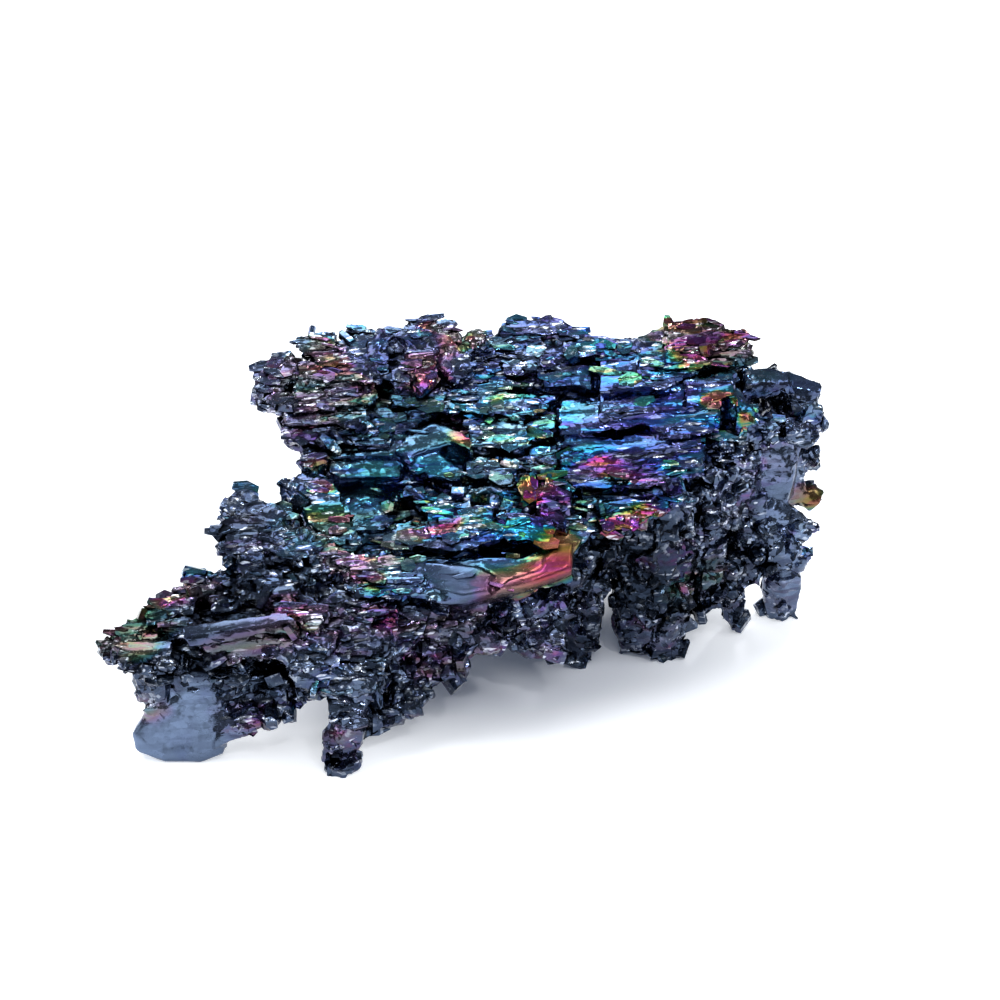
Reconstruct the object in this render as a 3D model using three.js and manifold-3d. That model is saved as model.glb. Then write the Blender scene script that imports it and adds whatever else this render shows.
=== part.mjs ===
// A cluster of intergrown silicon carbide crystals, as broken out of a furnace crust. Millimetres, +Z up.
//
// One natural piece. A tilted plateau of overlapping ledges faces forward and up, and falls towards the
// front in steps with undercut edges. A lower arm reaches out to the left, a stack of blocky crystals hangs
// at the right, and broad plates stacked below the plateau make the back. Feet of several sizes carry the
// cluster: a hanging plate and a stub under the arm, two blocks under the plateau's right half, a stub at
// the right, and three broad ones at the back. Everything has grown together, so every crystal is joined
// into one solid. The feet end in one plane, Z = 0, and an open arch is left between them.

import * as THREE from "three";
import { mergeVertices } from "three/addons/utils/BufferGeometryUtils.js";
import Module from "manifold-3d";

const wasm = await Module();
wasm.setup();

// ---- Driving dimensions ----

const PLATEAU_TILT = THREE.MathUtils.degToRad(34); // the plateau's slope above the horizontal
const PLATEAU_CENTRE = new THREE.Vector3(4, 2, 26.9); // where the plateau's own u, w and h are 0
const LEDGE_FALL = 0.1; // how much a ledge's top sinks for each millimetre back from its front edge
const LEDGE_UNDERCUT = 1.5; // how far the shadow gap under a ledge reaches back
const LEDGE_ROOT = 3.2; // how far down a ledge's root goes into the crystals below it
const CHAMFER = 0.35; // bevel on the edges of a plate
const UNEVEN = 0.13; // how uneven a crystal's or a lump's facets are, as a share of its size
const TAPER = 0.78; // a crystal's narrower end, as a share of its wider one
const SIDES = 6; // silicon carbide grows in hexagonal prisms and plates
const SLANT = 0.35; // most that a crystal's end leans, as a slope
const MOST_RISE = 0.25; // and the most that it rises on a short crystal, as a share of the length
const OUTWARD = new THREE.Vector3(0, -0.8, 0.6); // where a crystal of the front turns its broad face
const FOOTPRINT_CENTRE = new THREE.Vector3(1.4, 1.1, 0); // moved onto the specimen's own origin
const FOOT_DEPTH = 8; // how far the cut under the feet reaches down

// A repeatable stream of numbers from -1 to 1 for the shape at a place, so that each shape keeps its
// own unevenness when others change.
function streamAt([x, y, z]) {
  let state = Math.round(1e4 + 131 * x + 353 * y + 719 * z) >>> 0;
  return () => {
    state = (state + 0x6d2b79f5) >>> 0;
    let t = state;
    t = Math.imul(t ^ (t >>> 15), t | 1);
    t ^= t + Math.imul(t ^ (t >>> 7), t | 61);
    return ((t ^ (t >>> 14)) >>> 0) / 2147483648 - 1;
  };
}

// ---- From three.js geometry to solids ----

// A closed geometry, placed by a matrix, as a solid that can be joined and cut.
function solidOf(geometry, matrix) {
  const placed = geometry.clone().applyMatrix4(matrix);
  for (const name of Object.keys(placed.attributes)) {
    if (name !== "position") placed.deleteAttribute(name);
  }
  const merged = mergeVertices(placed, 1e-4);
  return new wasm.Manifold(
    new wasm.Mesh({
      numProp: 3,
      vertProperties: merged.attributes.position.array,
      triVerts: new Uint32Array(merged.index.array),
    }),
  );
}

function moved(x, y, z) {
  return new THREE.Matrix4().makeTranslation(x, y, z);
}

// The plateau's own frame: u to the right, w up the slope, h out of it.
const plateauFrame = new THREE.Matrix4()
  .makeRotationX(PLATEAU_TILT)
  .setPosition(PLATEAU_CENTRE);

// The same place every time for each distinct vertex of a geometry, whatever faces share it.
function eachVertex(geometry, move) {
  const position = geometry.attributes.position;
  const point = new THREE.Vector3();
  const done = new Map();
  for (let i = 0; i < position.count; i++) {
    point.fromBufferAttribute(position, i);
    const key = point.toArray().map((v) => Math.round(v * 1e3)).join();
    if (!done.has(key)) done.set(key, move(point.clone()));
    position.setXYZ(i, ...done.get(key).toArray());
  }
  return geometry;
}

// ---- Shapes ----

// A six-sided crystal from one point to another, narrower at its far end, with flat sides and flat ends
// that are cut a little aslant. Its width lies across the view from the front, its depth away from it.
function crystal({ from, to, width, depth }, outward, frame) {
  const wander = streamAt(to);
  const start = new THREE.Vector3(...from);
  const along = new THREE.Vector3(...to).sub(start);
  const length = along.length();
  along.normalize();
  const across = new THREE.Vector3().crossVectors(outward, along).normalize();
  const out = new THREE.Vector3().crossVectors(along, across);
  const corners = Array.from({ length: SIDES }, () => 1 + UNEVEN * wander());
  const slant = Math.min((SLANT * width) / length, MOST_RISE);
  const slants = [0, 1].map(() => [slant * wander(), slant * wander()]);
  const geometry = new THREE.CylinderGeometry(1, 1, 1, SIDES)
    .rotateX(Math.PI / 2)
    .translate(0, 0, 0.5);
  eachVertex(geometry, ({ x, y, z }) => {
    const turn = Math.atan2(y, x) / (2 * Math.PI) + 1;
    const corner = corners[Math.round(turn * SIDES) % SIDES];
    const [slantX, slantY] = slants[Math.round(z)];
    const rise = corner * (slantX * x + slantY * y);
    // Every corner edge runs towards one far apex, so the sides and both ends stay flat.
    const t = (z + rise) / (1 + rise * (1 - TAPER));
    const girth = corner * (1 - (1 - TAPER) * t);
    return new THREE.Vector3(x * girth, y * girth, t);
  });
  geometry.scale(width / 2, depth / 2, length);
  const placed = new THREE.Matrix4()
    .makeBasis(across, out, along)
    .setPosition(start);
  return solidOf(geometry, frame.clone().multiply(placed));
}

// A direction in the plateau's plane, another one for each place.
function turned(place) {
  const angle = Math.PI * streamAt(place)();
  return new THREE.Vector3(Math.cos(angle), Math.sin(angle), 0);
}

// A lump with uneven flat facets.
function lump({ at, size }, frame) {
  const wander = streamAt(at);
  const geometry = new THREE.IcosahedronGeometry(1, 0);
  eachVertex(geometry, (point) => point.multiplyScalar(1 + UNEVEN * wander()));
  geometry.scale(size[0] / 2, size[1] / 2, size[2] / 2);
  return solidOf(geometry, frame.clone().multiply(moved(...at)));
}

// A flat plate with a bevelled rim, from an outline in its own plane and two heights.
function plate({ outline, bottom, top }, frame) {
  const geometry = new THREE.ExtrudeGeometry(
    new THREE.Shape(outline.map(([x, y]) => new THREE.Vector2(x, y))),
    {
      depth: top - bottom - CHAMFER,
      bevelEnabled: true,
      bevelSegments: 1,
      bevelSize: CHAMFER,
      bevelOffset: -CHAMFER,
      bevelThickness: CHAMFER,
    },
  );
  return solidOf(geometry, frame.clone().multiply(moved(0, 0, bottom)));
}

// A ledge of the plateau. Its front edge runs through the given points from left to right, its flat top
// sinks gently backwards, and its front face is cut back below, so that a dark gap shows under it.
function ledge({ front, rise, back, gap = LEDGE_UNDERCUT }) {
  const middle = front.reduce((sum, [, w]) => sum + w, 0) / front.length;
  const topAt = (w) => rise - (w - middle) * LEDGE_FALL;
  const bays = front.length - 1;
  const profile = new THREE.Shape(
    [
      [0, 1],
      [1, 0],
      [2, 0],
      [2, 1],
    ].map(([x, y]) => new THREE.Vector2(x, y)),
  );
  const geometry = new THREE.ExtrudeGeometry(profile, {
    depth: bays,
    steps: bays,
    bevelEnabled: false,
  });
  // Each section of the sweep goes to its own point of the front edge, and the profile's grid of
  // places becomes the real distances back and heights.
  eachVertex(geometry, ({ x, y, z }) => {
    const i = Math.round(z);
    const [u, w] = front[i];
    const depth = back[i] ?? back;
    const reach = [0, Math.min(gap, depth / 2), depth][Math.round(x)];
    const height = y > 0.5 ? topAt(w + reach) : rise - LEDGE_ROOT;
    return new THREE.Vector3(u, w + reach, height);
  });
  return solidOf(geometry, plateauFrame);
}

// ---- The plateau, in its own u, w and h ----

// The body that the ledges grow from: the whole outline, kept inside the crystals that make its rim,
// and two raised parts of it.
const PLATEAU_BODIES = [
  { outline: [[-21, 8], [-20, 13], [-6, 14.8], [10, 14.6], [22, 14.4], [27.6, 12.8], [27, 9], [24.6, 3.5],
    [22.4, 0], [21.6, -2.6], [17.6, -6], [11, -8], [7.4, -12.4], [0, -15.2], [-7, -16.4], [-14, -15.4],
    [-16.4, -12.6], [-19, -8], [-20.4, -4.5], [-20, 1], [-20.6, 4]], bottom: -7, top: -2.6 },
  { outline: [[-24, 8], [-22, 11.6], [-18, 13.6], [-8, 14], [-7, 6], [-11, 2.4], [-20.6, 2.4], [-23, 4]],
    bottom: -3, top: 0.2 },
  { outline: [[-8, 9.4], [-7, 15], [10, 15.4], [20, 15.2], [27.4, 12.4], [27, 10.6], [14, 9.4], [8, 9.6]],
    bottom: -3.4, top: 0 },
];

// Front edge from left to right, height of that edge, how far back the ledge runs, and gap under it.
const LEDGES = [
  // right terrace, from the cap at the top down to the rim
  { front: [[19.8, 10.8], [22.6, 11.4], [25, 12.2], [27.7, 11.5], [29.4, 12.1]],
    rise: 3, back: [6, 5.8, 4.6, 3.8, 3] },
  { front: [[16.5, 9.3], [21.4, 9.3], [25.2, 11], [27.5, 11]], rise: 2.6, back: 4 },
  { front: [[11.9, 7.4], [14.5, 8.1], [18.6, 7.9], [22.4, 9.7], [24.5, 11]],
    rise: 2.1, back: 4.6, gap: 2.4 },
  { front: [[5.6, 8.5], [8.4, 8.9], [11, 8.1]], rise: 1.5, back: 3.4 },
  { front: [[5.7, 11], [11.4, 12.3], [16.6, 12.8], [19.9, 12.6]], rise: 2.1, back: [2.6, 1.8, 2.4, 4.4] },
  { front: [[21.8, 5.8], [24.1, 6.2], [27.5, 7.6]], rise: 1.5, back: 3.6 },
  { front: [[11.9, 4.4], [16.5, 5.2], [21.2, 5.5], [26.1, 6.1]], rise: 1.1, back: 4 },
  { front: [[7.2, 2.4], [12.2, 3.1], [16.9, 4], [18.3, 3.1], [25.8, 4.6]], rise: 0.7, back: 5, gap: 2.4 },
  { front: [[19.7, 2], [22, 2.3], [25.8, 3.5]], rise: 0.4, back: 3 },
  { front: [[7.8, 0.9], [14.1, -0.3], [16.7, 0.7], [23.7, 1.4]], rise: -0.1, back: 3 },
  { front: [[7.4, -0.9], [13.9, -2.1], [16.7, -1.4], [23.7, -0.5]], rise: -0.2, back: 3 },
  { front: [[7.5, -2.8], [9, -3.7], [17.5, -3.9], [21.5, -2.8], [23.8, -1.6]],
    rise: -0.3, back: 4, gap: 2 },
  { front: [[9.9, -5], [12.9, -5.8], [15.9, -5.3], [19.8, -3.9]], rise: -1.5, back: 3 },
  { front: [[12.4, -8.6], [15.4, -8.1], [19.1, -6], [20.1, -4.8]], rise: -1.2, back: 3.4 },
  // thin ledges of the middle
  { front: [[0.3, 14.9], [3.8, 15.3], [7.7, 15.3], [10.6, 14.2]], rise: 2, back: [2, 2.1, 2.1, 1.5] },
  { front: [[-0.1, 12.3], [2.6, 12.4], [8.5, 13.3], [11.1, 13.7]], rise: 1.7, back: [3, 3, 2.4, .8] },
  { front: [[0.6, 10.6], [3.8, 10.8], [8.5, 11.2]], rise: 1.4, back: 3 },
  { front: [[-4.4, 11], [-2.5, 11.6], [-0.4, 12.4]], rise: 1.5, back: 3.4 },
  { front: [[-5.8, 10], [-1.3, 9.6], [0.3, 10.6]], rise: 0.9, back: 3 },
  { front: [[-5.5, 7.6], [-2, 7.6], [1.7, 8.9]], rise: 0.6, back: 3 },
  { front: [[-7.8, 6.1], [-1.8, 5.6], [4, 5.4], [5.9, 6.7]], rise: 0.3, back: 3 },
  { front: [[-3.4, 3.3], [1, 3.1], [2.9, 3.6]], rise: -0.3, back: 2.4 },
  { front: [[-3.2, 1.6], [2.2, 1.1], [3.9, 2.4], [6.1, 3.4]], rise: -0.3, back: 2.8, gap: 2.3 },
  { front: [[0.6, -0.2], [3.8, -0.7], [6.9, 0.2]], rise: -1.8, back: 2.4 },
  { front: [[-3.6, -1.8], [-1.4, -1.9], [2.3, -2.7]], rise: -0.8, back: 2.2 },
  // left shelf
  { front: [[-22.3, 12.4], [-20.4, 11], [-16.4, 10.8], [-14.4, 11.6]], rise: 2.5, back: 3.6, gap: 2.2 },
  { front: [[-23.1, 8.2], [-19.4, 8.5], [-14.8, 9]], rise: 2.3, back: 3 },
  { front: [[-23.5, 5.1], [-17.5, 5.5], [-14.4, 6.4]], rise: 2, back: 4.6 },
  { front: [[-24.4, 3.5], [-18.6, 3.3], [-14.9, 2.8]], rise: 1.4, back: 3.4 },
  { front: [[-24.5, 2.2], [-18.6, 1.3], [-12.2, 1.1]], rise: 0.8, back: 3.2 },
  { front: [[-22.5, 0.7], [-18.6, 0], [-11.2, -0.1]], rise: 0, back: 3, gap: 2 },
  { front: [[-15.3, 13.1], [-13.2, 12.8], [-10.9, 12.8]], rise: 2.2, back: 3 },
  { front: [[-12.2, 6.1], [-9, 6.2], [-6, 5.7]], rise: 1.1, back: 3 },
  // lower left, and the front
  { front: [[-19.3, -1.9], [-17.4, -2.3], [-11.2, -2.3]], rise: -0.5, back: 2.4, gap: 1.8 },
  { front: [[-17.5, -8.9], [-13, -8.9], [-11.4, -7.2]], rise: -0.9, back: 3.4 },
  { front: [[-7.6, -10.4], [-4.2, -10.7], [-0.6, -9.7]], rise: 1.5, back: 3.4 },
  { front: [[-7, -8.5], [-2.9, -7.5]], rise: 1.1, back: 2.6 },
  { front: [[-11.7, -12.1], [-8.3, -11.7], [-4.9, -12.5], [-2, -11.7]], rise: 1.2, back: 3.2, gap: 2 },
  { front: [[-2.4, -11.3], [2.6, -10.6], [6.5, -11.6]], rise: 1, back: 3.2, gap: 2.4 },
  { front: [[-16.6, -15.7], [-14.1, -15.9], [-8.3, -15.9]], rise: 1.1, back: 3 },
  { front: [[-16.3, -17.1], [-13.7, -17.9], [-11.4, -18.2], [-8.2, -17.2]], rise: 0.7, back: 3 },
];

// Scales and plates: the claw, the lens inside it, the ring and the bar below them, the slanting wedge at
// the left, and the front plate with its corner slab and its smooth face.
const PLATES = [
  { outline: [[-12.2, 0.4], [-11, 1.7], [-9.3, 3.2], [-7.6, 4.2], [-5.7, 3.8], [-4, 3], [-2.8, 1.7],
    [-2.9, 0.1], [-3.8, 0.6], [-5.2, 1.4], [-6.8, 0.8], [-8.3, 0.3], [-10, -0.6]],
    bottom: -3, top: 1.1 },
  { outline: [[-6.9, 0.9], [-4.8, -0.8], [-3.8, -1.8], [-3.9, -2.9], [-5.2, -3.3], [-8.2, -2.3],
    [-10.2, -1], [-8.8, 0]], bottom: -3, top: 0.3 },
  { outline: [[-10.9, -3.8], [-9.8, -5.1], [-8.3, -6.1], [-6.2, -6.5], [-2.7, -6], [-1.2, -5.8],
    [-3.4, -4.8], [-4.3, -4.7], [-5.4, -5.2], [-7.7, -4.7], [-9.1, -3.8], [-10.3, -3.2]],
    bottom: -3.4, top: 0.2 },
  { outline: [[-24.4, -2.9], [-22.9, -2], [-19.7, -2.4], [-18, -4.1], [-16.7, -8.7], [-15.8, -11.1],
    [-17.2, -11.7], [-19.6, -11.3], [-22.7, -6.4], [-24.5, -4.5]], bottom: -3.6, top: 0.3 },
  { outline: [[-18, -14.4], [-16.4, -16.4], [-14.3, -17.5], [-8.7, -17.6], [-6.4, -18.4], [-3.6, -18],
    [0.3, -16.8], [7.1, -14.5], [8.5, -13.8], [8.6, -10.8], [7.1, -10.5], [5.4, -11.2], [2.6, -12.4],
    [-5.4, -12.4], [-11.6, -12.7], [-14.5, -12], [-16.7, -12.7]], bottom: -3.4, top: 0 },
  { outline: [[8.6, -10.8], [6.7, -10.9], [5.5, -12.2], [4.9, -14.2], [1.4, -15.4], [-0.5, -17.2],
    [3.7, -16.2], [8.4, -14.3]], bottom: -1.4, top: 0.6 },
  { outline: [[-8.2, -13.2], [-4.7, -13.6], [-2, -14], [-0.2, -15.1], [-1.1, -16], [-0.8, -17.2],
    [-4, -17.9], [-6.8, -17.1], [-8.2, -15.5]], bottom: -1.4, top: 0.7 },
];

// The tall knot at the top and its neighbours, the two lobes at the left end, and the front blocks.
const PLATEAU_CRYSTALS = [
  { from: [-10.6, 13.4, 2], to: [-7.2, 16, 2.6], width: 4.6, depth: 4.6 },
  { from: [-8.4, 14.2, 2], to: [-4.6, 14.3, 2.4], width: 4.4, depth: 4.6 },
  { from: [-5.3, 10.3, 0], to: [-5, 13.9, 2.6], width: 5.4, depth: 4 },
  { from: [-10.4, 11.4, 1.8], to: [-7.4, 11.7, 2.2], width: 3.6, depth: 4 },
  { from: [-9.7, 9, 1.4], to: [-7.6, 10.5, 2], width: 3.6, depth: 4 },
  { from: [-3, 13, 1.8], to: [-3.3, 14.7, 2.2], width: 3, depth: 3.4 },
  { from: [-14.6, 9.2, 1], to: [-13.3, 14.8, 2.4], width: 3.4, depth: 4 },
  { from: [-22.4, 13.2, 1.2], to: [-18.9, 14.1, 1.8], width: 3.2, depth: 3.6 },
  { from: [-27.5, 9, -0.4], to: [-23.3, 12, 0.8], width: 5, depth: 4 },
  { from: [-28.1, 9.8, -0.2], to: [-26.8, 9.4, 0.4], width: 3.8, depth: 3.6 },
  { from: [3.1, -2.5, -0.6], to: [4.2, -5.6, -0.6], width: 3.6, depth: 3 },
  { from: [4.9, -3.1, -0.4], to: [8.6, -5.2, -1.2], width: 3.4, depth: 3.4 },
  { from: [4.9, -6.5, -0.8], to: [7.9, -7.7, -1.4], width: 3.8, depth: 3.6 },
];

const PLATEAU_LUMPS = [
  { at: [-16.8, 15.5, 1.6], size: [3.4, 2.6, 3] },
  { at: [-24.9, 7.5, 0.2], size: [5, 2.6, 2.8] },
  { at: [-11, 9.5, 1.2], size: [4, 3.4, 3] },
  { at: [-23.5, -3.5, -0.6], size: [2.8, 3.2, 3] },
  { at: [-21.5, -0.6, -0.8], size: [4, 3, 3] },
  { at: [-17.5, -13, -0.6], size: [3.2, 4, 3] },
  { at: [0.3, -6.2, -0.8], size: [4, 2.4, 2.6] },
  { at: [28.8, 13, 0.8], size: [3, 4, 4] },
];

// Broad six-sided plates stacked below the plateau, parallel to it. Their edges make the back, and the
// longest of them are cut off flat in the floor plane. Each is turned its own way.
const STACK = [
  { from: [-16, 10, -6.4], to: [-16, 10.4, -2.4], width: 12, depth: 9 },
  { from: [-7, 11.2, -8], to: [-7.4, 11, -3], width: 13, depth: 11 },
  { from: [3, 10.4, -6.6], to: [3, 10.8, -2], width: 15, depth: 12 },
  { from: [12, 12, -8.4], to: [12, 11.6, -3.4], width: 12, depth: 10 },
  { from: [20, 10.6, -6.8], to: [20.6, 10.6, -2.4], width: 13, depth: 11 },
  { from: [26, 8.4, -10], to: [26, 8, -4], width: 9, depth: 8 },
  { from: [-14, 7.6, -12.6], to: [-13, 8, -6], width: 13, depth: 11 },
  { from: [-3, 9.6, -13], to: [-3, 9, -8.4], width: 16, depth: 12 },
  { from: [8, 8.6, -14], to: [7.6, 8.4, -7], width: 13, depth: 11 },
  { from: [18, 9, -13.4], to: [18, 9, -7.6], width: 16, depth: 12 },
  { from: [-14.4, 4.6, -19], to: [-14, 5, -12], width: 12, depth: 11 },
  { from: [-3, 6.6, -18], to: [-4, 7, -12], width: 11, depth: 10 },
  { from: [6, 5.4, -19.4], to: [6, 5, -13.4], width: 15, depth: 12 },
  { from: [19, 5.6, -19], to: [19, 6, -13], width: 14, depth: 12 },
  { from: [-8, 3, -25], to: [-8, 3.4, -17.6], width: 13, depth: 10 },
  { from: [13.4, 4, -22.6], to: [13, 4.4, -18], width: 11, depth: 8 },
  { from: [-12, -3.6, -34], to: [-12.6, 2, -18], width: 14, depth: 10 },
  { from: [3, -4.4, -34], to: [2, 2, -17], width: 12, depth: 9 },
  { from: [20.6, -1, -34], to: [20, 4, -17], width: 12, depth: 9 },
];

// ---- Everything below and around the plateau, in X, Y and Z ----

// The grown-together mass that carries the plateau.
const MASSES = [
  { at: [3, 5, 18.6], size: [44, 18, 14] },
  { at: [-11, 2, 19], size: [22, 17, 12] },
  { at: [23, 8, 18], size: [16, 13, 24] },
  { at: [8, 0, 15], size: [18, 13, 12] },
  { at: [-3, -7, 13.4], size: [18, 10, 10] },
  { at: [-31, -14.6, 12], size: [12, 8, 8] },
  { at: [-23, -13.6, 12], size: [17, 9, 9] },
  { at: [-13.6, -12.4, 13], size: [15, 11, 10] },
  { at: [-20.6, -7, 18.4], size: [12, 9, 9] },
  { at: [-12.4, -17, 9.4], size: [10, 7, 6.4] },
  { at: [31.6, 11, 21], size: [10, 11, 23] },
  { at: [36.4, 13, 19], size: [9, 9, 20] },
  { at: [-5, 16, 8], size: [16, 9, 19] },
  { at: [14.6, 16, 10], size: [15, 9, 14] },
];

const CRYSTALS = [
  // arm: its bright tip, the ridge of lumps on top, the long bar and the face below it, the ribs
  // that hang from it and the stub it stands on
  { from: [-38.1, -18, 13.3], to: [-35.1, -14, 14.7], width: 4.8, depth: 4 },
  { from: [-37.1, -19, 13.3], to: [-32.2, -19, 14], width: 4, depth: 3.6 },
  { from: [-34.5, -18.5, 13.6], to: [-34.8, -18.5, 7.2], width: 5.4, depth: 4 },
  { from: [-31.9, -18, 12.2], to: [-31.2, -17.5, 6.8], width: 4, depth: 3 },
  { from: [-35.3, -14.5, 14.5], to: [-32.8, -12, 15.3], width: 3.8, depth: 3.4 },
  { from: [-33.2, -12, 15.9], to: [-28.1, -11, 16], width: 4, depth: 3.6 },
  { from: [-30.2, -19.6, 16.3], to: [-18.7, -18.6, 17.8], width: 3, depth: 2.2 },
  { from: [-29, -18.8, 14.8], to: [-18.6, -18, 14.6], width: 5, depth: 3 },
  { from: [-22.7, -13, 17.4], to: [-17, -13.5, 18.1], width: 4.8, depth: 4 },
  { from: [-19.8, -16, 17.2], to: [-14.9, -17, 16.5], width: 4, depth: 3.4 },
  { from: [-19.5, -18, 14.5], to: [-14.5, -17.5, 13], width: 4.8, depth: 4 },
  { from: [-19, -18, 11.7], to: [-9.4, -18.5, 9.1], width: 6, depth: 4.6 },
  { from: [-12.9, -20.5, 7.7], to: [-13.5, -21.5, -1], width: 4.8, depth: 4.2 },
  { from: [-17.8, -16.5, 8.3], to: [-28, -19.5, 3.2], width: 4.6, depth: 2.8 },
  { from: [-27, -17, 8.6], to: [-19.2, -16.5, 8.3], width: 6, depth: 3 },
  { from: [-10, -15, 9.2], to: [-5, -13, 11.4], width: 3.4, depth: 3 },
  // dark blades at the left, between the arm and the plateau
  { from: [-26.8, -3, 23.2], to: [-19.9, -7, 23.1], width: 4.4, depth: 3 },
  { from: [-26.2, -6, 22.8], to: [-18.3, -9, 21.2], width: 4.6, depth: 3 },
  { from: [-27.2, -8, 21.4], to: [-19.4, -10, 20.2], width: 4.2, depth: 3.4 },
  { from: [-24.8, -11, 19.2], to: [-18.3, -10, 18.9], width: 4, depth: 3.4 },
  { from: [-18.5, -9, 21.8], to: [-14, -9, 15], width: 7, depth: 4 },
  // front of the lower body
  { from: [-8.2, -10.5, 13.8], to: [-2.1, -10, 14.3], width: 4.2, depth: 3.2 },
  { from: [-7.3, -12, 11.8], to: [0.4, -11, 12], width: 5, depth: 3.6 },
  { from: [-6.2, -13, 8.4], to: [-0.5, -12, 9.1], width: 4.6, depth: 3.6 },
  { from: [-1.4, -11, 10.1], to: [3.6, -10, 10.8], width: 4.8, depth: 3.6 },
  { from: [-9.6, -15, 5.6], to: [-1.9, -13.5, 8.2], width: 5, depth: 4 },
  { from: [-11.3, -18, 3.3], to: [-4.3, -15, 6.5], width: 4, depth: 3 },
  { from: [3.8, -5, 10.1], to: [11.2, -8, 7.7], width: 6.4, depth: 4.4 },
  { from: [14.6, -1.5, 13.9], to: [13.4, 1, -1.4], width: 5.4, depth: 4.6 },
  { from: [4.3, -8, 14], to: [12.7, -4, 11.1], width: 5.6, depth: 4 },
  // block at the right front, its foot and the wall beside it
  { from: [22.5, 4, 23.2], to: [22.4, 3, -0.7], width: 11, depth: 9 },
  { from: [21.5, 3, 7], to: [24.1, 2.2, -2.8], width: 5.4, depth: 4.6 },
  { from: [29.4, 6, 23.1], to: [28.6, 5, 5.2], width: 6, depth: 6 },
  { from: [32.2, 7.5, 10.4], to: [32.6, 8, 1], width: 3.6, depth: 3.4 },
  // flakes beyond the plateau's right edge
  { from: [31.8, 7.5, 29.2], to: [36, 8.5, 26.3], width: 4.6, depth: 3 },
  { from: [29.2, 5.5, 26.6], to: [33.2, 6.5, 23.6], width: 4, depth: 3 },
  // stack of crystals at the right end, and the stub it stands on
  { from: [32, 13, 30.5], to: [38.8, 15, 29.8], width: 4.2, depth: 4 },
  { from: [37.9, 15, 29.4], to: [41.9, 14.5, 28.6], width: 4.2, depth: 3.6 },
  { from: [38.4, 14.5, 27.1], to: [42.7, 14, 26.3], width: 3.4, depth: 3.2 },
  { from: [37.8, 13.5, 23.3], to: [39.3, 12, 15.3], width: 5.4, depth: 3.6 },
  { from: [35.1, 9.5, 17], to: [40.9, 9.5, 12], width: 4.6, depth: 3.6 },
  { from: [37.4, 9.5, 9.5], to: [41.5, 9.5, 8.6], width: 4, depth: 3.4 },
  { from: [38.3, 10.5, 8.3], to: [38.9, 11, -3], width: 5, depth: 4.8 },
  { from: [33.3, 8.5, 18.7], to: [35.3, 9, 7], width: 6, depth: 5 },
];

const LUMPS = [
  { at: [-39.4, -18, 13.6], size: [3.2, 3.2, 3.6] },
  { at: [-34.9, -18.5, 6.4], size: [2.8, 2.6, 2.8] },
  { at: [-30.1, -8.5, 16.2], size: [4.6, 4, 3.6] },
  { at: [-23.9, -10, 20.2], size: [5, 4, 5] },
  { at: [-26.6, -9.5, 16.2], size: [5.6, 4, 5.6] },
  { at: [-26.6, -12.5, 15.9], size: [5, 4, 3.4] },
  { at: [-24.5, -3, 24.2], size: [3.4, 2.6, 3] },
  { at: [37.2, 17, 29.8], size: [3.6, 3.4, 3.4] },
  { at: [42.1, 14, 24.9], size: [3.4, 3.4, 4] },
  { at: [40.9, 14, 20.5], size: [4, 3.6, 4.6] },
  { at: [41.8, 13, 15.4], size: [4, 3.8, 4.2] },
  { at: [38.6, 18, 24.1], size: [9, 8, 9] },
];

// The plate that hangs from the arm and stands on its lower rim, in a plane of its own: X to the
// right, Y up. It leans back a little.
const HANGING_PLATE = {
  outline: [[-6.2, -6.2], [-3, -7.6], [1, -7.6], [3.6, -6.6], [4.2, -4], [4.2, -1], [3.2, 0.8], [2, 3.4],
    [0.6, 2], [-2.2, 0], [-4.8, -1.2], [-6.6, -4.2]],
  bottom: -2.4,
  top: 0.4,
};
const HANGING_PLATE_PLACE = new THREE.Matrix4()
  .makeRotationX(THREE.MathUtils.degToRad(76))
  .setPosition(-30.6, -18.6, 7.4);

// ---- The cluster ----

function cluster() {
  const world = new THREE.Matrix4();
  const outwardOnPlateau = new THREE.Vector3(0, 0, 1);
  const belowFeet = solidOf(
    new THREE.BoxGeometry(200, 200, FOOT_DEPTH),
    moved(0, 0, -FOOT_DEPTH / 2),
  );
  return [
    ...PLATEAU_BODIES.map((body) => plate(body, plateauFrame)),
    ...LEDGES.map(ledge),
    ...PLATES.map((scale) => plate(scale, plateauFrame)),
    ...STACK.map((one) => crystal(one, turned(one.from), plateauFrame)),
    ...PLATEAU_CRYSTALS.map((one) => crystal(one, outwardOnPlateau, plateauFrame)),
    ...PLATEAU_LUMPS.map((one) => lump(one, plateauFrame)),
    ...MASSES.map((one) => lump(one, world)),
    ...CRYSTALS.map((one) => crystal(one, OUTWARD, world)),
    ...LUMPS.map((one) => lump(one, world)),
    plate(HANGING_PLATE, HANGING_PLATE_PLACE),
  ]
    .reduce((grown, next) => grown.add(next))
    .subtract(belowFeet);
}

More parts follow.
